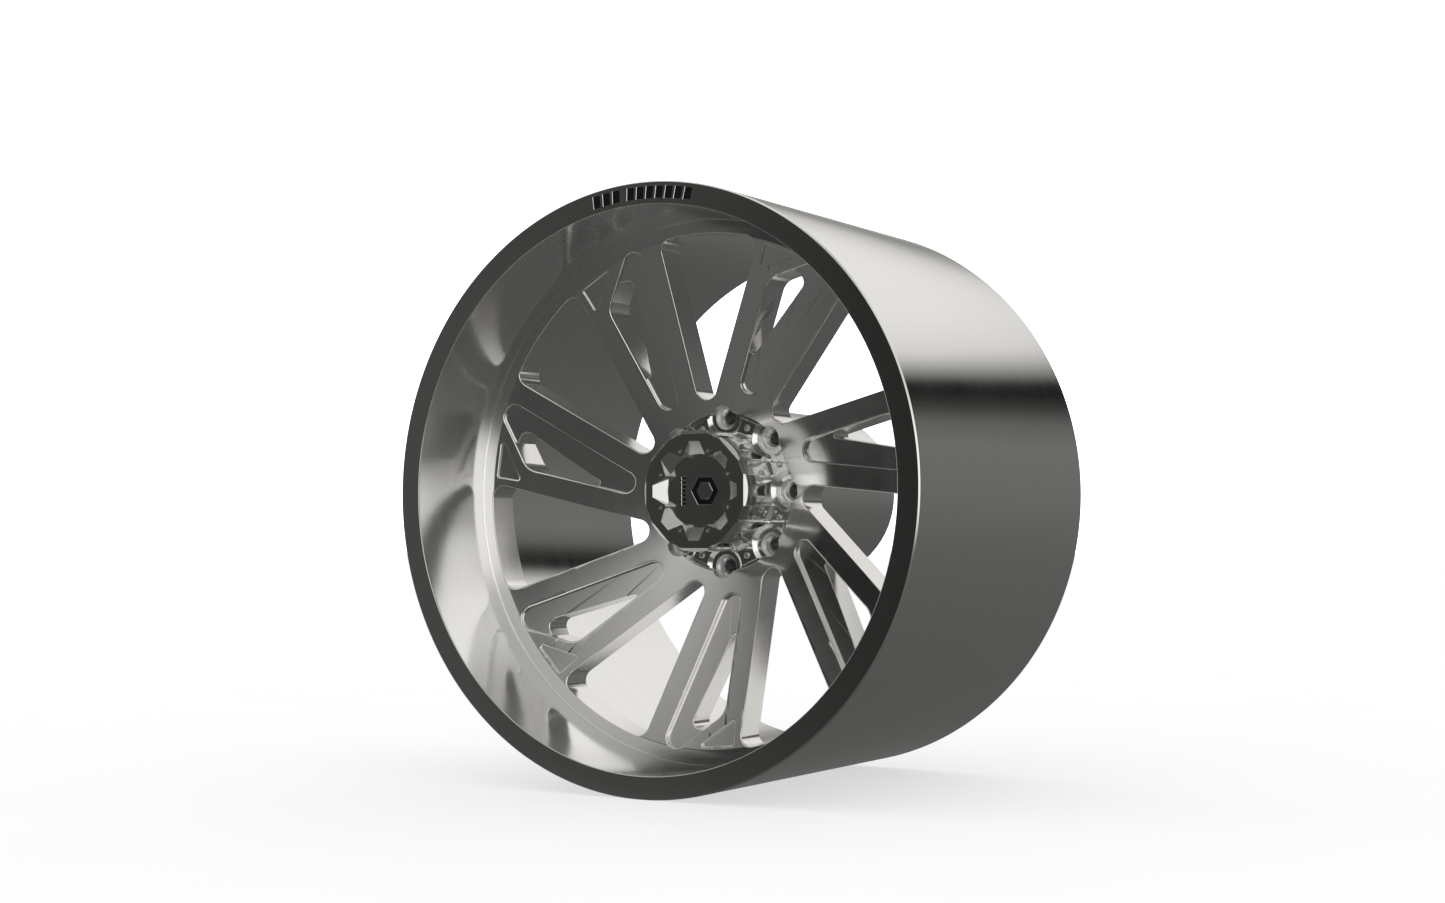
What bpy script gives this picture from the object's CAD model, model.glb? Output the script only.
"""Deep-lip forged wheel rim: finished pieces, materials and studio on the CAD frame.

Shapes are made in millimetres with the axle along +Z (street side up) and the mounting face at
zero. TO_ROW turns them into the frame: metres, axle along Y, street side toward -Y.
"""
import math

import bmesh
import bpy
from mathutils import Matrix, Vector, geometry


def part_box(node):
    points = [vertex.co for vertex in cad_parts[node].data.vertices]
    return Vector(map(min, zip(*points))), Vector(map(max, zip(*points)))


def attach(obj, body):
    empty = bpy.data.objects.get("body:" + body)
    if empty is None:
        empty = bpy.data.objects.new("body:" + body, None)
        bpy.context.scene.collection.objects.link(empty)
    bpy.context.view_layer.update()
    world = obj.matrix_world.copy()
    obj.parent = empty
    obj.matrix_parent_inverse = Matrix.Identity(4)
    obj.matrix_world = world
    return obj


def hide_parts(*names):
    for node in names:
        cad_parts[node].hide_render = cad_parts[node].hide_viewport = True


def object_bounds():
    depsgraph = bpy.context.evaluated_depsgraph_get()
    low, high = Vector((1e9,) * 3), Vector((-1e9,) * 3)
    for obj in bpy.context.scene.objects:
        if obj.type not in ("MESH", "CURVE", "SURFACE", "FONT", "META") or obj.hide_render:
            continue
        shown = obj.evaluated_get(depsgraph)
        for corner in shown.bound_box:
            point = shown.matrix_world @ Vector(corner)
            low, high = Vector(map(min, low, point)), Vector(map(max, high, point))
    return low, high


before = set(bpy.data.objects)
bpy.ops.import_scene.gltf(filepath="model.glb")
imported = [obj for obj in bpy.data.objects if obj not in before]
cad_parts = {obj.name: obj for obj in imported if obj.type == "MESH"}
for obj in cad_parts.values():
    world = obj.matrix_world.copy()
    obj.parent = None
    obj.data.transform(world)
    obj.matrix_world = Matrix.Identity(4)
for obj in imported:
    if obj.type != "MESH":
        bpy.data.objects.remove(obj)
cad_low, cad_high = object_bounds()

MM = 0.001
TO_ROW = Matrix.Rotation(math.radians(90), 4, "X") @ Matrix.Scale(MM, 4)
SEGMENTS = 512

# Driving sizes, read from the frame
barrel_low, barrel_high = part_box("barrel")
disc_low, disc_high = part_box("spoke_disc")
R_LIP = barrel_high.x / MM
Z_LIP = -barrel_low.y / MM
Z_REAR = -barrel_high.y / MM
Z_RING = -disc_low.y / MM
R_SEAM = disc_high.x / MM

# Barrel
LIP_WIDTH = 24.5
R_DISH = R_LIP - LIP_WIDTH
R_REAR = R_LIP - 2.5
R_REAR_BORE = 294.2
SEAM_EDGE = 0.8

# Spoke disc
DISC = 38.7
R_BREAK = 281
SLOPE = 0.256
R_RECESS = 88
Z_PAD = 227
R_BORE = 62.6
R_BOSS = 94
SPOKES = 7
SPOKE_TURN = math.radians(360 / 28)
POCKET_DEPTH = 5
CORNER_DEPTH = 3
# Rounding of the milled edges
POCKET_EDGE = 1.8
CORNER_EDGE = 1.5
SLOT_EDGE = 1.1
WINDOW_EDGE = 1.3
Z_BELOW = 140
Z_ABOVE = 320

# Lugs and cap screws
LUGS = 8
R_LUG_CIRCLE = 82.55
R_LUG = 7.5
R_SEAT = 11.8
R_WELL = 13.4
Z_SEAT_LOW = 207
Z_SEAT_TOP = 222
R_SCREW_CIRCLE = 76

# Centre cap
Z_FLANGE = 231
Z_BADGE = 283.8
R_FLANGE = 87
R_CAVITY = 54
R_SPIGOT = 62.2
R_RECESSED_BADGE = 40.4
R_PLATE_SCREWS = 46.5
R_TOWER = 66.3
X_PANEL = 63.7
RIB_ANGLE = math.radians(13.9)

# Marks on the lip: angles from straight up, and one mark's corners
MARK_ANGLES = [-10.6 + 2.3 * i for i in range(3)] + [-2.6 + 2.2 * i for i in range(7)]
MARK_CORNERS = [(-4.6, -6.4), (3.8, -6.4), (4.6, 6.4), (-3.8, 6.4)]
R_MARK = 310.4
MARK_DEPTH = 1
MARK_BEVEL = 0.7

# Valve
VALVE_ANGLE = math.radians(157)
Z_VALVE = 225
R_SPOT = 10.5
R_VALVE_HOLE = 5.75
SPOT_FLOOR = 302


# ---------------------------------------------------------------- outlines

def arc(centre, radius, start, turn, steps):
    """Points of an arc that starts at an angle and turns by another, in radians."""
    angles = [start + turn * k / steps for k in range(steps + 1)]
    return [Vector((centre[0] + radius * math.cos(a), centre[1] + radius * math.sin(a))) for a in angles]


def turn_between(a, b):
    """Angle from direction a to direction b, the short way round."""
    return math.atan2(a.x * b.y - a.y * b.x, a.dot(b))


def fillet(corners, radii, steps=10):
    """Closed outline whose corners are rounded, each by its own radius."""
    points = [Vector(c) for c in corners]
    outline = []
    for i, corner in enumerate(points):
        radius = radii[i]
        if radius == 0:
            outline.append(corner)
            continue
        back = (points[i - 1] - corner).normalized()
        ahead = (points[(i + 1) % len(points)] - corner).normalized()
        half = back.angle(ahead) / 2
        centre = corner + (back + ahead).normalized() * radius / math.sin(half)
        first = corner + back * radius / math.tan(half) - centre
        last = corner + ahead * radius / math.tan(half) - centre
        outline += arc(centre, radius, math.atan2(first.y, first.x), turn_between(first, last), steps)
    return outline


def grow(outline, amount):
    """A convex outline, anticlockwise, moved outward by the same amount all round."""
    grown = []
    for i, p in enumerate(outline):
        before = (p - outline[i - 1]).normalized()
        after = (outline[(i + 1) % len(outline)] - p).normalized()
        out = (Vector((before.y, -before.x)) + Vector((after.y, -after.x))).normalized()
        stretch = max(0.3, out.dot(Vector((after.y, -after.x))))
        grown.append(p + out * amount / stretch)
    return grown


def window_outline(apex=(-8.75, 76.1), rim=281.5, low=61.75, high=87.95, rounding=13):
    """Three-sided window: two straight sides from near the hub and an arc near the rim."""
    apex = Vector(apex)
    ends = [rim * Vector((math.cos(math.radians(a)), math.sin(math.radians(a)))) for a in (low, high)]
    right = (ends[0] - apex).normalized()
    left = (apex - ends[1]).normalized()
    out_right = Vector((right.y, -right.x))
    out_left = Vector((left.y, -left.x))

    def where_rounded(along, out):
        """Centre of the corner circle between one side and the arc."""
        start = apex - out * rounding
        b = start.dot(along)
        return start + along * (-b + math.sqrt(b * b - start.length_squared + (rim - rounding) ** 2))

    half = out_left.angle(out_right) / 2
    tip = apex - (out_left + out_right).normalized() * rounding / math.cos(half)
    first = where_rounded(right, out_right)
    last = where_rounded(-left, out_left)
    outline = []
    for centre, a, b in ((tip, out_left, out_right), (first, out_right, first)):
        outline += arc(centre, rounding, math.atan2(a.y, a.x), turn_between(a, b), 14)
    outline += arc((0, 0), rim, math.atan2(first.y, first.x), turn_between(first, last), 40)[1:-1]
    outline += arc(last, rounding, math.atan2(last.y, last.x), turn_between(last, out_left), 14)
    return outline


def slot_outline():
    """The slot that goes through inside a pocket; its outer side runs past the pocket's wall."""
    points = []
    for centre, radius in (((-58.4, 149.5), 3), ((-49.6, 245.2), 9), ((-90, 245.2), 9), ((-85, 149.5), 3)):
        points += arc(centre, radius, 0, 2 * math.pi, 48)[:-1]
    order = geometry.convex_hull_2d(points)
    hull = [points[i] for i in order]
    turning = sum(hull[i - 1].cross(hull[i]) for i in range(len(hull)))
    return hull if turning > 0 else hull[::-1]


WINDOW = window_outline()
POCKET = fillet([(-12.4, 308.6), (-78.8, 228.9), (-38.8, 42.7)], [13.3, 22, 11.6], 18)
SLOT = slot_outline()
CORNER = fillet([(-94.4, 230.9), (-59.2, 271), (-102, 257.3)], [2.2, 2.2, 2.2], 8)


# ---------------------------------------------------------------- surfaces of the disc

def face_z(r):
    """Height of the spoke face."""
    return Z_RING - max(0, R_BREAK - r) * SLOPE


BACK_CURVE = [(R_BOSS + 2, 182), (R_BOSS + 4, 188), (R_BOSS + 9, 195),
              (R_BOSS + 17, face_z(R_BOSS + 17) - DISC)]


def back_z(r):
    """Height of the back of the spokes."""
    if r >= BACK_CURVE[-1][0]:
        return face_z(r) - DISC
    for (r0, z0), (r1, z1) in zip(BACK_CURVE, BACK_CURVE[1:]):
        if r0 <= r <= r1:
            return z0 + (z1 - z0) * (r - r0) / (r1 - r0)
    return BACK_CURVE[0][1]


# ---------------------------------------------------------------- mesh building

def lathe(profile, segments=SEGMENTS, tag=0):
    """A closed profile of (radius, height) points turned about the axle."""
    bm = bmesh.new()
    on_axis = [bm.verts.new((0, 0, p[1])) if p[0] == 0 else None for p in profile]
    rings = []
    for i in range(segments):
        a = 2 * math.pi * i / segments
        rings.append([v or bm.verts.new((p[0] * math.cos(a), p[0] * math.sin(a), p[1]))
                      for p, v in zip(profile, on_axis)])
    for i in range(segments):
        here, there = rings[i], rings[(i + 1) % segments]
        for k in range(len(profile)):
            n = (k + 1) % len(profile)
            corners = list(dict.fromkeys((here[k], here[n], there[n], there[k])))
            if len(corners) > 2:
                bm.faces.new(corners).material_index = tag
    bmesh.ops.recalc_face_normals(bm, faces=bm.faces)
    return bm


def loft(rings, tags):
    """A solid through rings of points; the wall between two rings gets that place's tag."""
    bm = bmesh.new()
    made = [[bm.verts.new(p) for p in ring] for ring in rings]
    count = len(made[0])
    for low, high, tag in zip(made, made[1:], tags):
        for i in range(count):
            n = (i + 1) % count
            face = bm.faces.new((low[i], low[n], high[n], high[i]))
            face.material_index = tag
    bm.faces.new(made[0][::-1])
    bm.faces.new(made[-1])
    bmesh.ops.recalc_face_normals(bm, faces=bm.faces)
    return bm


def raised(outline, height):
    """An outline at a height, given as a number or as a function of the radius."""
    return [(p.x, p.y, height(p.length) if callable(height) else height) for p in outline]


def around(bm, count, start=0.0):
    """The same shape repeated about the axle."""
    whole = bmesh.new()
    mesh = bpy.data.meshes.new("one")
    bm.to_mesh(mesh)
    bm.free()
    for i in range(count):
        mesh.transform(Matrix.Rotation(start + 2 * math.pi * i / count, 4, "Z"))
        whole.from_mesh(mesh)
        mesh.transform(Matrix.Rotation(-start - 2 * math.pi * i / count, 4, "Z"))
    bpy.data.meshes.remove(mesh)
    return whole


def combine(first, second, operation):
    """Boolean of two solids; both are used up."""
    objects = []
    for bm in (first, second):
        mesh = bpy.data.meshes.new("work")
        bm.to_mesh(mesh)
        bm.free()
        for tag in range(5):
            mesh.materials.append(None)
        objects.append(bpy.data.objects.new("work", mesh))
        bpy.context.scene.collection.objects.link(objects[-1])
    modifier = objects[0].modifiers.new("boolean", "BOOLEAN")
    modifier.operation = operation
    modifier.solver = "MANIFOLD"
    modifier.object = objects[1]
    graph = bpy.context.evaluated_depsgraph_get()
    result = bmesh.new()
    result.from_mesh(objects[0].evaluated_get(graph).to_mesh())
    for obj in objects:
        mesh = obj.data
        bpy.data.objects.remove(obj)
        bpy.data.meshes.remove(mesh)
    return result


def piece(name, bm, materials, body, stands_for=(), sharp=28):
    """A finished object in the frame, shaded smooth except at its sharp edges."""
    bmesh.ops.dissolve_degenerate(bm, dist=1e-4, edges=bm.edges)
    bm.transform(TO_ROW)
    mesh = bpy.data.meshes.new(name)
    bm.to_mesh(mesh)
    bm.free()
    for material in materials:
        mesh.materials.append(material)
    mesh.polygons.foreach_set("use_smooth", [True] * len(mesh.polygons))
    mesh.set_sharp_from_angle(angle=math.radians(sharp))
    obj = bpy.data.objects.new(name, mesh)
    bpy.context.scene.collection.objects.link(obj)
    weighted = obj.modifiers.new("weighted_normals", "WEIGHTED_NORMAL")
    weighted.keep_sharp = True
    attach(obj, body)
    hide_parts(*stands_for)
    return obj


# ---------------------------------------------------------------- materials

def new_material(name):
    """An empty principled material: (material, nodes, links, shader)."""
    material = bpy.data.materials.new(name)
    material.use_nodes = True
    nodes = material.node_tree.nodes
    return material, nodes, material.node_tree.links, nodes["Principled BSDF"]


def maths(nodes, links, operation, a, b=None, clamp=False):
    """Output of one maths node; a and b are sockets or numbers."""
    node = nodes.new("ShaderNodeMath")
    node.operation = operation
    node.use_clamp = clamp
    for socket, value in zip(node.inputs, (a, b)):
        if value is None:
            continue
        if isinstance(value, (int, float)):
            socket.default_value = value
        else:
            links.new(value, socket)
    return node.outputs[0]


def turned_coordinates(nodes, links, across, along):
    """Coordinates that change fast across the turning marks and slowly round the axle."""
    place = nodes.new("ShaderNodeTexCoord").outputs["Object"]
    split = nodes.new("ShaderNodeSeparateXYZ")
    links.new(place, split.inputs[0])
    x, y, z = split.outputs
    radius = maths(nodes, links, "SQRT", maths(nodes, links, "ADD", maths(nodes, links, "MULTIPLY", x, x),
                                               maths(nodes, links, "MULTIPLY", z, z)))
    join = nodes.new("ShaderNodeCombineXYZ")
    links.new(maths(nodes, links, "MULTIPLY", radius, across), join.inputs[0])
    links.new(maths(nodes, links, "MULTIPLY", y, across), join.inputs[1])
    links.new(maths(nodes, links, "MULTIPLY", maths(nodes, links, "ADD", x, z), along), join.inputs[2])
    return join.outputs[0]


def noise(nodes, links, vector, scale, detail=3.0):
    """Noise texture value at a vector socket."""
    node = nodes.new("ShaderNodeTexNoise")
    node.inputs["Scale"].default_value = scale
    node.inputs["Detail"].default_value = detail
    links.new(vector, node.inputs["Vector"])
    return node.outputs["Fac"]


def spread(nodes, links, value, low, high):
    """A 0 to 1 value stretched to a range, with the middle of the noise opened up."""
    node = nodes.new("ShaderNodeMapRange")
    links.new(value, node.inputs["Value"])
    node.inputs["From Min"].default_value = 0.3
    node.inputs["From Max"].default_value = 0.7
    node.inputs["To Min"].default_value = low
    node.inputs["To Max"].default_value = high
    return node.outputs[0]


def tint(nodes, links, fac, dark, light):
    """Colour between two by a value."""
    node = nodes.new("ShaderNodeMix")
    node.data_type = "RGBA"
    links.new(fac, node.inputs["Factor"])
    node.inputs["A"].default_value = (*dark, 1)
    node.inputs["B"].default_value = (*light, 1)
    return node.outputs["Result"]


def metal(name, colour, roughness, marks=0.0, across=2600, along=14, rounding=0.0, smudge=0.05,
          metallic=1.0, ripples=0):
    """Bare metal with turning marks, soft smudges and, if asked, rounded edges or weld ripples."""
    material, nodes, links, shader = new_material(name)
    shader.inputs["Metallic"].default_value = metallic
    fine = noise(nodes, links, turned_coordinates(nodes, links, across, along), 1.0, 2.0)
    place = nodes.new("ShaderNodeTexCoord").outputs["Object"]
    cloud = noise(nodes, links, place, 9.0, 4.0)
    dark = tuple(c * 0.97 for c in colour)
    shade = tint(nodes, links, spread(nodes, links, fine, 0.0, 1.0), dark, colour)
    links.new(shade, shader.inputs["Base Color"])
    gloss = maths(nodes, links, "ADD", spread(nodes, links, cloud, roughness - smudge, roughness + smudge),
                  spread(nodes, links, fine, -marks, marks), clamp=True)
    links.new(gloss, shader.inputs["Roughness"])
    normal = None
    if rounding:
        edge = nodes.new("ShaderNodeBevel")
        edge.samples = 6
        edge.inputs["Radius"].default_value = rounding * MM
        normal = edge.outputs[0]
    if ripples:
        split = nodes.new("ShaderNodeSeparateXYZ")
        links.new(place, split.inputs[0])
        turn = maths(nodes, links, "ARCTAN2", split.outputs[2], split.outputs[0])
        even = maths(nodes, links, "MULTIPLY", turn, ripples)
        wander = maths(nodes, links, "MULTIPLY", cloud, 5.0)
        wave = maths(nodes, links, "SINE", maths(nodes, links, "ADD", even, wander))
        ridge = nodes.new("ShaderNodeBump")
        ridge.inputs["Strength"].default_value = 0.7
        ridge.inputs["Distance"].default_value = 0.45 * MM
        links.new(maths(nodes, links, "ABSOLUTE", wave), ridge.inputs["Height"])
        normal = ridge.outputs[0]
    if marks:
        bump = nodes.new("ShaderNodeBump")
        bump.inputs["Strength"].default_value = 0.1
        bump.inputs["Distance"].default_value = 0.003 * MM
        links.new(fine, bump.inputs["Height"])
        if normal:
            links.new(normal, bump.inputs["Normal"])
        normal = bump.outputs[0]
    if normal:
        links.new(normal, shader.inputs["Normal"])
    return material


def coated(name, colour, roughness, grain, grain_scale=900, coat=0.0):
    """Paint, rubber or plastic with a fine grain."""
    material, nodes, links, shader = new_material(name)
    place = nodes.new("ShaderNodeTexCoord").outputs["Object"]
    speck = noise(nodes, links, place, grain_scale, 4.0)
    light = tuple(min(1.0, c * 1.5 + 0.0005) for c in colour)
    shade = tint(nodes, links, spread(nodes, links, speck, 0.0, 1.0), colour, light)
    links.new(shade, shader.inputs["Base Color"])
    links.new(spread(nodes, links, speck, roughness - 0.08, roughness + 0.08), shader.inputs["Roughness"])
    shader.inputs["Coat Weight"].default_value = coat
    bump = nodes.new("ShaderNodeBump")
    bump.inputs["Strength"].default_value = grain
    bump.inputs["Distance"].default_value = 0.05 * MM
    links.new(speck, bump.inputs["Height"])
    links.new(bump.outputs[0], shader.inputs["Normal"])
    return material


BARREL = metal("barrel_polish", (0.86, 0.86, 0.85), 0.1, marks=0.01, across=220, along=4, smudge=0.015)
DISH = metal("dish_brushed", (0.88, 0.88, 0.87), 0.13, marks=0.01, across=160, along=4, smudge=0.02)
FACE = metal("spoke_satin", (0.84, 0.84, 0.84), 0.14, marks=0.015, across=260, along=5)
FLANK = metal("spoke_milled_flank", (0.86, 0.85, 0.84), 0.18, marks=0.02, across=240, along=100)
EDGE = metal("polished_chamfer", (0.93, 0.93, 0.92), 0.12)
BORE = metal("bore_satin", (0.92, 0.92, 0.91), 0.34, marks=0.04, across=600, metallic=0.88)
SEAT = metal("seat_pressed", (0.92, 0.92, 0.91), 0.25, marks=0.04, across=600, rounding=0.3, metallic=0.9)
CHROME = metal("cap_bright", (0.88, 0.88, 0.87), 0.07, rounding=0.5, smudge=0.03)
DARK_CHROME = metal("cap_plate_bright", (0.74, 0.74, 0.73), 0.17, rounding=0.4, smudge=0.04)
STEEL = metal("steel_turned", (0.72, 0.72, 0.72), 0.2, marks=0.06, across=9000, rounding=0.3)
WELD = metal("weld_aluminium", (0.78, 0.78, 0.77), 0.3, marks=0.05, ripples=230)
BRASS = metal("brass_turned", (0.78, 0.6, 0.3), 0.22, marks=0.05, across=9000)
ENAMEL = coated("black_enamel", (0.0006, 0.0006, 0.0006), 0.35, 0.05)
RUBBER = coated("seal_rubber", (0.02, 0.02, 0.02), 0.6, 0.4)
SEAL_RED = coated("cap_seal_rubber", (0.2, 0.03, 0.02), 0.6, 0.3)
PLASTIC = coated("valve_cap_plastic", (0.02, 0.02, 0.022), 0.42, 0.3)


# ---------------------------------------------------------------- pieces

def build_barrel():
    """The rolled outer part: lip ring, dish wall, plain barrel."""
    foot = R_SEAM + SEAM_EDGE
    wall = [(R_SEAM, Z_RING - SEAM_EDGE)]
    wall += [(foot + (R_DISH - foot) * (3 * t * t - 2 * t ** 3), Z_RING + (Z_LIP - Z_RING - 2) * t)
             for t in [k / 16 for k in range(17)]]
    corners = [(R_DISH, Z_LIP), (R_LIP - 1.5, Z_LIP), (R_LIP, Z_LIP - 1.5), (R_REAR, Z_REAR),
               (R_REAR_BORE, Z_REAR), (R_REAR_BORE, Z_RING - DISC - 1), (R_SEAM, Z_RING - DISC - 1)]
    outline = [tuple(p) for p in fillet(corners, [1.0, 0.3, 0.3, 1.5, 1.5, 0, 0], 4)]
    barrel = lathe(outline + wall)
    for face in barrel.faces:
        centre = face.calc_center_median()
        if centre.z > Z_RING - SEAM_EDGE and centre.xy.length < R_DISH:
            face.material_index = 3 if centre.z > Z_RING else 2

    def mark(angle):
        """Cutter for one mark, with a fine bevel on its edge."""
        turn = Matrix.Rotation(math.radians(-angle), 2)
        base = [turn @ Vector((x, y + R_MARK)) for x, y in MARK_CORNERS]
        wide = grow(base, 1.4)
        rings = [raised(base, Z_LIP - MARK_DEPTH), raised(base, Z_LIP - 0.4), raised(wide, Z_LIP + 1)]
        return loft(rings, [0, 2])

    marks = bmesh.new()
    for angle in MARK_ANGLES:
        one = bpy.data.meshes.new("one")
        cutter = mark(angle)
        cutter.to_mesh(one)
        cutter.free()
        marks.from_mesh(one)
        bpy.data.meshes.remove(one)
    barrel = combine(barrel, marks, "DIFFERENCE")
    hole = lathe([(0, SPOT_FLOOR - 20), (R_VALVE_HOLE, SPOT_FLOOR - 20), (R_VALVE_HOLE, SPOT_FLOOR - 0.4),
                  (R_VALVE_HOLE + 0.4, SPOT_FLOOR), (R_SPOT, SPOT_FLOOR), (R_SPOT, R_LIP + 5),
                  (0, R_LIP + 5)], 64, 1)
    hole.transform(Matrix.Rotation(VALVE_ANGLE, 4, "Z") @ Matrix.Translation((0, 0, Z_VALVE))
                   @ Matrix.Rotation(math.radians(90), 4, "Y"))
    return combine(barrel, hole, "DIFFERENCE")


def build_disc():
    """The forged and milled centre."""
    corners = ([(R_BORE, Z_PAD - 1), (R_BORE, 150), (R_BORE + 5, 140), (R_BORE + 5, 50), (R_BORE, 40),
                (R_BORE, 0), (R_BOSS - 1, 0), (R_BOSS, 1)] + BACK_CURVE
               + [(R_BREAK, Z_RING - DISC), (R_SEAM, Z_RING - DISC), (R_SEAM, Z_RING - SEAM_EDGE),
                  (R_SEAM - SEAM_EDGE, Z_RING), (R_BREAK, Z_RING)])
    outline = corners + [(r, face_z(r)) for r in range(280, R_RECESS + 5, -20)]
    edge = fillet([(R_RECESS + 10, face_z(R_RECESS + 10)), (R_RECESS, face_z(R_RECESS)), (R_RECESS, Z_PAD),
                   (R_BORE + 1, Z_PAD)], [0, 1.0, 1.0, 0], 4)
    disc = lathe(outline + [tuple(p) for p in edge])
    for face in disc.faces:
        centre = face.calc_center_median()
        if centre.z > Z_RING - SEAM_EDGE and centre.xy.length > R_SEAM - SEAM_EDGE:
            face.material_index = 2

    def eased(outline, surface, radius, out=1):
        """Rings of a cutter that rounds an edge: up from a wall on to a surface, or down with out = -1."""
        rings = []
        for k in range(5):
            t = math.pi / 2 * k / 4
            shape = grow(outline, radius * (1 - math.cos(t)))
            rings.append(raised(shape, lambda r, t=t: surface(r) - out * radius * (1 - math.sin(t))))
        return rings

    def through(outline, surface, radius):
        """Cutter that goes right through and rounds the front edge and the back edge."""
        wide = grow(outline, radius)
        rings = ([raised(wide, Z_BELOW)] + eased(outline, back_z, radius, -1)[::-1]
                 + eased(outline, surface, radius) + [raised(wide, Z_ABOVE)])
        return loft(rings, [2] * 5 + [1] + [2] * 5)

    def recess(outline, depth, radius):
        """Cutter for a flat-floored recess that follows the slope of the face."""
        rings = ([raised(outline, Z_BELOW)] + eased(outline, face_z, radius)
                 + [raised(grow(outline, radius), Z_ABOVE)])
        above = lathe([(50, face_z(50) - depth), (R_BREAK, Z_RING - depth), (295, Z_RING - depth),
                       (295, Z_ABOVE), (50, Z_ABOVE)], tag=3)
        return combine(around(loft(rings, [1] + [2] * 5), SPOKES, SPOKE_TURN), above, "INTERSECT")

    disc = combine(disc, recess(POCKET, POCKET_DEPTH, POCKET_EDGE), "DIFFERENCE")
    disc = combine(disc, recess(CORNER, CORNER_DEPTH, CORNER_EDGE), "DIFFERENCE")
    slot = through(SLOT, lambda r: face_z(r) - POCKET_DEPTH, SLOT_EDGE)
    slot = around(slot, SPOKES, SPOKE_TURN)
    walls = loft([raised(POCKET, Z_BELOW - 5), raised(POCKET, Z_ABOVE + 5)], [1])
    walls = around(walls, SPOKES, SPOKE_TURN)
    disc = combine(disc, combine(slot, walls, "INTERSECT"), "DIFFERENCE")
    windows = around(through(WINDOW, face_z, WINDOW_EDGE), SPOKES, SPOKE_TURN)
    disc = combine(disc, windows, "DIFFERENCE")

    def bore(distance, start, profile, segments):
        """Turned hole cutters on a circle about the axle."""
        cutter = lathe(profile, segments, tag=4)
        cutter.transform(Matrix.Translation((distance, 0, 0)))
        return around(cutter, LUGS, start)

    lug = [(0, -5), (R_LUG, -5), (R_LUG, Z_SEAT_LOW), (R_SEAT, Z_SEAT_LOW), (R_SEAT, Z_SEAT_TOP - 0.4),
           (R_SEAT + 0.4, Z_SEAT_TOP), (R_WELL - 0.8, Z_SEAT_TOP), (R_WELL, Z_SEAT_TOP + 0.8),
           (R_WELL, Z_ABOVE), (0, Z_ABOVE)]
    disc = combine(disc, bore(R_LUG_CIRCLE, 0, lug, 96), "DIFFERENCE")
    thread = [(0, Z_PAD - 14), (2.4, Z_PAD - 14), (2.4, Z_PAD + 1), (0, Z_PAD + 1)]
    return combine(disc, bore(R_SCREW_CIRCLE, math.pi / LUGS, thread, 32), "DIFFERENCE")


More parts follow.
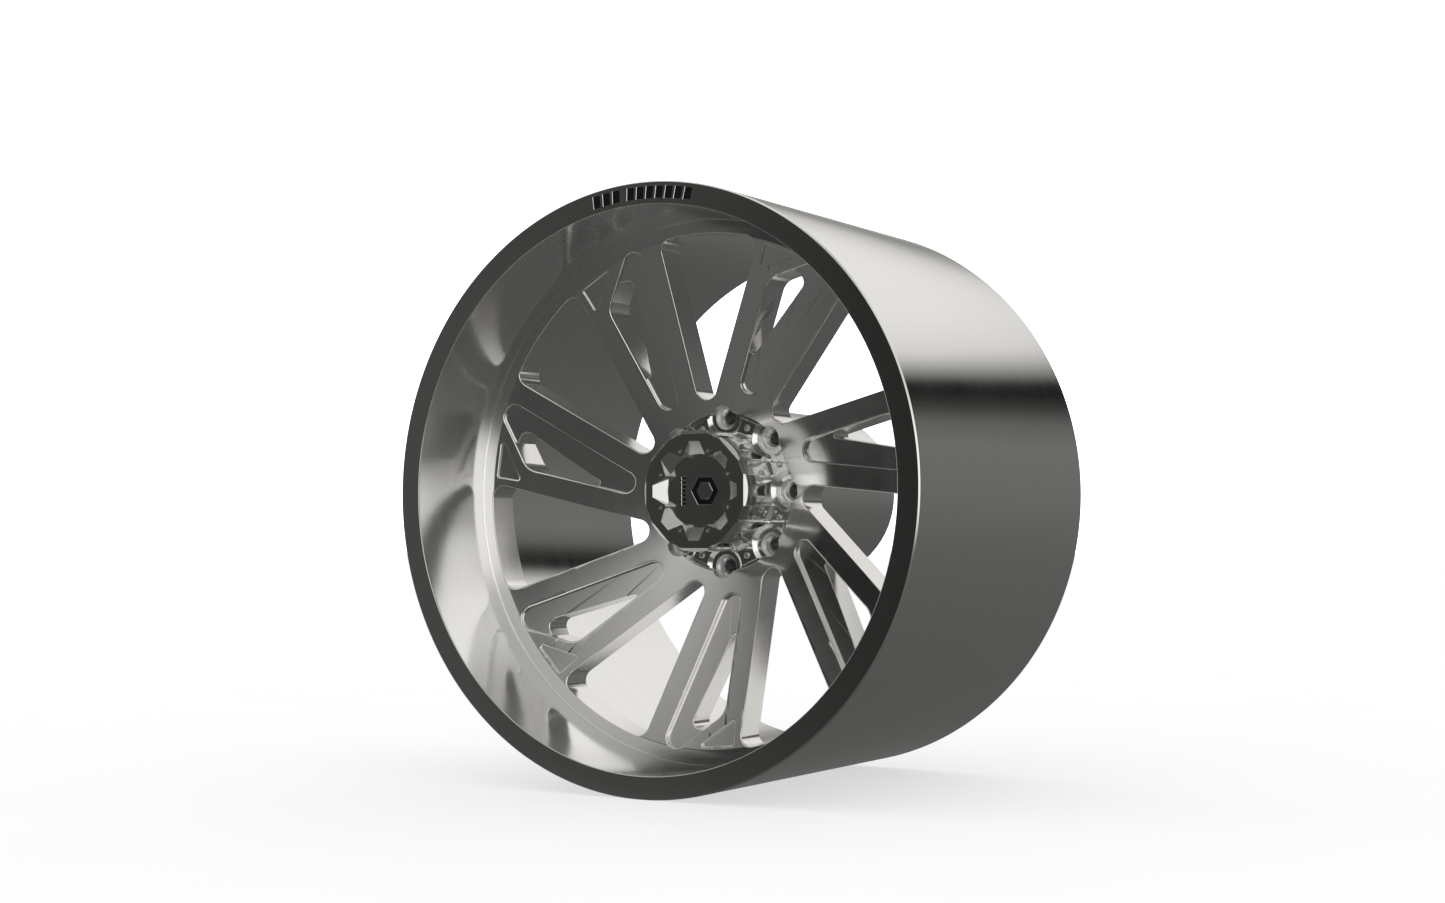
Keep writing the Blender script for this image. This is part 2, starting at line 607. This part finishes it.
def build_tower():
    """The cap's body: turned tower with flat panels, corner ribs, lug funnels and a flange."""
    corners = [(R_SPIGOT, Z_PAD), (R_FLANGE, Z_PAD), (R_FLANGE, Z_FLANGE), (R_TOWER, Z_FLANGE),
               (R_TOWER, Z_BADGE), (R_RECESSED_BADGE, Z_BADGE)]
    outer = [tuple(p) for p in fillet(corners, [0, 0.4, 0.7, 2.2, 0.3, 0.2], 5)]
    spigot = [(R_CAVITY, 219), (R_SPIGOT - 0.4, 219), (R_SPIGOT, 219.4), (R_SPIGOT, 221), (59.4, 221),
              (59.4, 224.4), (R_SPIGOT, 224.4)]
    inside = [(R_RECESSED_BADGE, Z_BADGE - 3), (0, Z_BADGE - 3), (0, 277), (R_CAVITY - 3, 277),
              (R_CAVITY, 274)]
    body = lathe(spigot + outer + inside, 256)
    half = math.pi / LUGS

    def flat(x, y, z):
        """One level of the cutter that leaves a flat panel between two lugs."""
        return [(x, -y, z), (90, -y - 1.4, z), (90, y + 1.4, z), (x, y, z)]

    panel = loft([flat(R_TOWER + 0.4, 9.2, Z_FLANGE + 1.4), flat(X_PANEL, 10.4, Z_FLANGE + 5),
                  flat(X_PANEL, 10.4, 300)], [0, 0])
    body = combine(body, around(panel, LUGS, half), "DIFFERENCE")
    corner = loft([[(84.4, -30, 229.2), (110, -30, 229.2), (110, 30, 229.2), (84.4, 30, 229.2)],
                   [(82.9, -30, 232), (110, -30, 232), (110, 30, 232), (82.9, 30, 232)]], [0])
    body = combine(body, around(corner, LUGS, half), "DIFFERENCE")
    for side in (-RIB_ANGLE, RIB_ANGLE):
        rib = lathe([(0, Z_FLANGE - 1), (1.7, Z_FLANGE - 1), (1.7, Z_BADGE - 0.4), (1.3, Z_BADGE),
                     (0, Z_BADGE)], 32)
        rib.transform(Matrix.Rotation(side, 4, "Z") @ Matrix.Translation((64.7, 0, 0)))
        body = combine(body, around(rib, LUGS), "UNION")
        boss = lathe([(0, Z_FLANGE - 1), (2.7, Z_FLANGE - 1), (2.7, 236.6), (2.3, 237.6), (1.4, 238.2),
                      (0, 238.4)], 32)
        boss.transform(Matrix.Rotation(side, 4, "Z") @ Matrix.Translation((65.6, 0, 0)))
        body = combine(body, around(boss, LUGS), "UNION")
    dome = lathe([(0, -2), (3.2, -2), (3.2, 0), (2.8, 0.35), (2.0, 0.7), (1.0, 0.9), (0, 1.0)], 32)
    dome.transform(Matrix.Translation((X_PANEL, 0, 242)) @ Matrix.Rotation(math.radians(90), 4, "Y"))
    body = combine(body, around(dome, LUGS, half), "UNION")
    steps = [(0, Z_PAD - 1), (16.85, Z_PAD - 1), (22.95, 231.4), (22.8, 232.9), (22.2, 233.1),
             (22.0, 235.1), (21.4, 235.3), (21.2, 237.3), (20.6, 237.5), (20.5, 239.2), (15.6, 272),
             (0, 272)]
    funnel = lathe(steps, 128)
    funnel.transform(Matrix.Translation((R_LUG_CIRCLE, 0, 0)))
    body = combine(body, around(funnel, LUGS), "DIFFERENCE")
    for distance, radius, low in ((R_SCREW_CIRCLE, 2.2, Z_PAD - 1), (R_PLATE_SCREWS, 1.25, Z_BADGE - 3.6)):
        hole = lathe([(0, low), (radius, low), (radius, low + 10), (0, low + 10)], 32)
        hole.transform(Matrix.Translation((distance, 0, 0)))
        body = combine(body, around(hole, LUGS, half), "DIFFERENCE")
    return body


def build_badge():
    """The badge plate with its generic marks sunk in, each with a fine bevel."""
    badge = lathe([(0, Z_BADGE - 3), (40.2, Z_BADGE - 3), (40.2, Z_BADGE - 0.2), (40.0, Z_BADGE),
                   (0, Z_BADGE)], 192)
    hexagons = [[Vector((7 + r * math.cos(math.radians(a)), r * math.sin(math.radians(a))))
                 for a in range(0, 360, 60)] for r in (17, 10.6)]
    bar_corners = [(-22.5, -1.45), (-17.5, -1.45), (-17.5, 1.45), (-22.5, 1.45)]
    bars = [[Vector((x, y + 4.6 * i)) for x, y in bar_corners] for i in range(-3, 4)]

    def sunk(outline, sign=1):
        """Cutter that opens by a small bevel at the badge's face."""
        return loft([raised(outline, Z_BADGE - 0.9), raised(outline, Z_BADGE - 0.5 * MARK_BEVEL),
                     raised(grow(outline, sign * MARK_BEVEL), Z_BADGE + 0.5 * MARK_BEVEL)], [0, 2])

    ring = combine(sunk(hexagons[0]), sunk(hexagons[1], -1), "DIFFERENCE")
    badge = combine(badge, ring, "DIFFERENCE")
    for bar in bars:
        badge = combine(badge, sunk(bar), "DIFFERENCE")
    return badge


piece("cap_badge_cut", build_badge(), [DARK_CHROME, DARK_CHROME, EDGE], "centre_cap",
      ["cap_badge"])
piece("cap_tower_bright", build_tower(), [CHROME], "centre_cap", ["cap_tower"], 24)
piece("barrel_polished", build_barrel(), [BARREL, FLANK, EDGE, DISH], "wheel", ["barrel"])
piece("spoke_centre_milled", build_disc(), [FACE, FLANK, EDGE, FACE, BORE], "wheel", ["spoke_disc"])

CAD_FINISHES = {
    "weld_bead": (WELD, "weld"),
    "lug_seats": (SEAT, "seat_steel"),
    "cap_thread_inserts": (STEEL, "insert_steel"),
    "cap_star_plate": (DARK_CHROME, "cap_dark"),
    "cap_badge_inlay": (ENAMEL, "black_enamel"),
    "cap_flange_screws": (STEEL, "screw_steel"),
    "cap_plate_screws": (DARK_CHROME, "screw_steel"),
    "cap_seal_ring": (RUBBER, "seal_rubber"),
    "lip_mark_inlay": (ENAMEL, "black_enamel"),
    "valve_stem": (STEEL, "valve_metal"),
    "valve_seal": (RUBBER, "seal_rubber"),
    "valve_washer": (STEEL, "valve_metal"),
    "valve_nut": (STEEL, "valve_metal"),
    "valve_core": (BRASS, "brass"),
    "valve_pin": (BRASS, "brass"),
    "valve_cap": (PLASTIC, "cap_plastic"),
    "valve_cap_seal": (SEAL_RED, "seal_rubber"),
}
for node, (finish, slot_name) in CAD_FINISHES.items():
    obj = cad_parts[node]
    obj.data.materials.clear()
    obj.data.materials.append(finish)


# ---------------------------------------------------------------- studio

FLOOR_RADIUS = 40
# The floor is lit from below like a light table, so the shadow stays faint
FLOOR_GLOW = 0.64
# The camera was fitted to the circles of the wheel in the photo
LENS = 52.78
VIEWPOINT = (1.2257, -2.2365, -0.0531)
LOOKING = (-0.5218, 0.8520, 0.0416)


def build_floor():
    """Plain pale floor that the wheel stands on; the metal doesn't mirror it."""
    bm = bmesh.new()
    bmesh.ops.create_circle(bm, cap_ends=True, radius=FLOOR_RADIUS, segments=96)
    mesh = bpy.data.meshes.new("floor")
    bm.to_mesh(mesh)
    bm.free()
    floor = bpy.data.objects.new("floor", mesh)
    floor.location.z = cad_low.z
    material, nodes, links, shader = new_material("floor_paper")
    place = nodes.new("ShaderNodeTexCoord").outputs["Object"]
    cloud = noise(nodes, links, place, 3.0)
    shade = tint(nodes, links, cloud, (0.145, 0.145, 0.145), (0.155, 0.155, 0.155))
    links.new(shade, shader.inputs["Base Color"])
    shader.inputs["Emission Color"].default_value = (1, 1, 1, 1)
    shader.inputs["Emission Strength"].default_value = FLOOR_GLOW
    shader.inputs["Roughness"].default_value = 0.9
    shader.inputs["Specular IOR Level"].default_value = 0.0
    mesh.materials.append(material)
    bpy.context.scene.collection.objects.link(floor)
    floor.visible_glossy = False


def ramp(nodes, links, value, stops):
    """Grey value read from a list of (place, brightness) stops."""
    node = nodes.new("ShaderNodeValToRGB")
    elements = node.color_ramp.elements
    while len(elements) > 1:
        elements.remove(elements[-1])
    for i, (place, grey) in enumerate(stops):
        element = elements[0] if i == 0 else elements.new(place)
        element.position = place
        element.color = (grey, grey * 0.985, grey * 0.95, 1)
    links.new(value, node.inputs["Fac"])
    return node.outputs["Color"]


# Direction of the large soft box in front, to the right, and the angles where it ends
SOFT_BOX = Vector((math.sin(math.radians(48)), -math.cos(math.radians(48)), 0.1)).normalized()
BOX_FULL = math.radians(15)
BOX_END = math.radians(27)
# Brightness of the surround for every ray that is not a reflection
PLAIN_LIGHT = 2.4

# What stands in front of the wheel, from left to right: the stretch of x over which each panel
# takes over from the one before, and its (degrees above the horizon, brightness)
FRONT_PANELS = [
    ((-1, -1), [(-90, 0.08), (-50, 0.15), (-25, 0.7), (0, 1.0), (40, 1.0), (90, 0.8)]),
    ((-0.95, -0.89), [(-90, 0.08), (-30, 0.12), (-15, 0.11), (-8, 0.06), (0, 0.03), (5, 0.02), (12, 0.015),
                      (16, 0.05), (21, 0.12), (30, 0.3), (70, 0.5), (90, 0.8)]),
    ((-0.8, -0.64), [(-90, 0.08), (-30, 0.13), (-12, 0.13), (-8, 0.1), (-6, 0.07), (6, 0.07), (10, 0.06),
                     (14, 0.09), (18, 0.14), (22, 0.24), (30, 0.35), (70, 0.5), (90, 0.8)]),
    ((-0.64, -0.45), [(-90, 0.08), (-30, 0.12), (-12, 0.1), (-9, 0.08), (-6, 0.022), (8, 0.022), (12, 0.06),
                      (16, 0.14), (20, 0.4), (30, 0.45), (70, 0.5), (90, 0.8)]),
    ((-0.43, -0.2), [(-90, 0.08), (-30, 0.09), (-15, 0.08), (-8, 0.062), (0, 0.07), (6, 0.07), (10, 0.1),
                     (15, 0.32), (20, 0.6), (30, 0.55), (70, 0.5), (90, 0.8)]),
    ((0.35, 0.6), [(-90, 0.08), (-40, 0.1), (-20, 0.14), (-3, 0.2), (8, 0.38), (16, 0.55), (26, 0.7),
                   (45, 0.8), (90, 0.8)]),
]
# The same for what stands behind it
BACK_PANELS = [
    ((-1, -1), [(-90, 0.06), (-30, 0.09), (0, 0.15), (5, 0.35), (9, 0.6), (12, 0.45), (15, 0.24),
                (18, 0.32), (21, 0.6), (25, 0.8), (32, 0.92), (45, 0.95), (90, 0.85)]),
    ((-0.33, -0.1), [(-90, 0.06), (-30, 0.095), (-10, 0.12), (0, 0.155), (9, 0.17), (12.5, 0.13),
                     (15, 0.045), (17.2, 0.01), (18.6, 0.015), (20.5, 0.35), (22.5, 0.74), (26, 0.86),
                     (45, 0.95), (90, 0.85)]),
]


def build_studio_light():
    """White cove with a dark floor line and a dark opening in front, and big soft light from above."""
    world = bpy.data.worlds.new("studio")
    bpy.context.scene.world = world
    world.cycles.sampling_method = "NONE"
    world.use_nodes = True
    nodes, links = world.node_tree.nodes, world.node_tree.links
    direction = nodes.new("ShaderNodeTexCoord").outputs["Generated"]
    split = nodes.new("ShaderNodeSeparateXYZ")
    links.new(direction, split.inputs[0])
    x, y, z = split.outputs
    height = maths(nodes, links, "MULTIPLY_ADD", z, 0.5)
    height.node.inputs[2].default_value = 0.5

    def stops(pairs):
        """Stops given as degrees above the horizon."""
        return [(0.5 + 0.5 * math.sin(math.radians(a)), grey) for a, grey in pairs]

    def wall(panels):
        """Brightness by height, blended from panel to panel across x."""
        so_far = None
        for (left, right), pairs in panels:
            panel = ramp(nodes, links, height, stops(pairs))
            if so_far is None:
                so_far = panel
                continue
            side = nodes.new("ShaderNodeMapRange")
            side.inputs["From Min"].default_value = left
            side.inputs["From Max"].default_value = right
            links.new(x, side.inputs["Value"])
            blend = nodes.new("ShaderNodeMix")
            blend.data_type = "RGBA"
            links.new(side.outputs[0], blend.inputs["Factor"])
            links.new(so_far, blend.inputs["A"])
            links.new(panel, blend.inputs["B"])
            so_far = blend.outputs["Result"]
        return so_far

    front = wall(FRONT_PANELS)
    back = wall(BACK_PANELS)
    facing = nodes.new("ShaderNodeMapRange")
    facing.interpolation_type = "SMOOTHSTEP"
    facing.inputs["From Min"].default_value = -0.25
    facing.inputs["From Max"].default_value = 0.25
    links.new(y, facing.inputs["Value"])
    mixed = nodes.new("ShaderNodeMix")
    mixed.data_type = "RGBA"
    links.new(facing.outputs[0], mixed.inputs["Factor"])
    links.new(front, mixed.inputs["A"])
    links.new(back, mixed.inputs["B"])
    toward = nodes.new("ShaderNodeVectorMath")
    toward.operation = "DOT_PRODUCT"
    links.new(direction, toward.inputs[0])
    toward.inputs[1].default_value = SOFT_BOX
    box = nodes.new("ShaderNodeMapRange")
    box.interpolation_type = "SMOOTHSTEP"
    box.inputs["From Min"].default_value = math.cos(BOX_END)
    box.inputs["From Max"].default_value = math.cos(BOX_FULL)
    links.new(toward.outputs["Value"], box.inputs["Value"])
    lit = nodes.new("ShaderNodeMix")
    lit.data_type = "RGBA"
    links.new(box.outputs[0], lit.inputs["Factor"])
    links.new(mixed.outputs["Result"], lit.inputs["A"])
    lit.inputs["B"].default_value = (1.15, 1.13, 1.09, 1)
    ray = nodes.new("ShaderNodeLightPath")
    mirrored = nodes["Background"]
    links.new(lit.outputs["Result"], mirrored.inputs["Color"])
    plain = nodes.new("ShaderNodeBackground")
    plain.inputs["Color"].default_value = (1, 1, 1, 1)
    plain.inputs["Strength"].default_value = PLAIN_LIGHT
    choose = nodes.new("ShaderNodeMixShader")
    links.new(ray.outputs["Is Glossy Ray"], choose.inputs[0])
    links.new(plain.outputs[0], choose.inputs[1])
    links.new(mirrored.outputs[0], choose.inputs[2])
    links.new(choose.outputs[0], nodes["World Output"].inputs["Surface"])


def build_camera():
    """The view from low on the right, a long way off."""
    data = bpy.data.cameras.new("view")
    data.sensor_width = 36
    data.lens = LENS
    camera = bpy.data.objects.new("view", data)
    camera.location = VIEWPOINT
    camera.rotation_euler = Vector(LOOKING).to_track_quat("-Z", "Y").to_euler()
    bpy.context.scene.collection.objects.link(camera)
    bpy.context.scene.camera = camera


build_floor()
build_studio_light()
build_camera()
bpy.context.scene.view_settings.view_transform = "Standard"
bpy.context.scene.cycles.glossy_bounces = 12
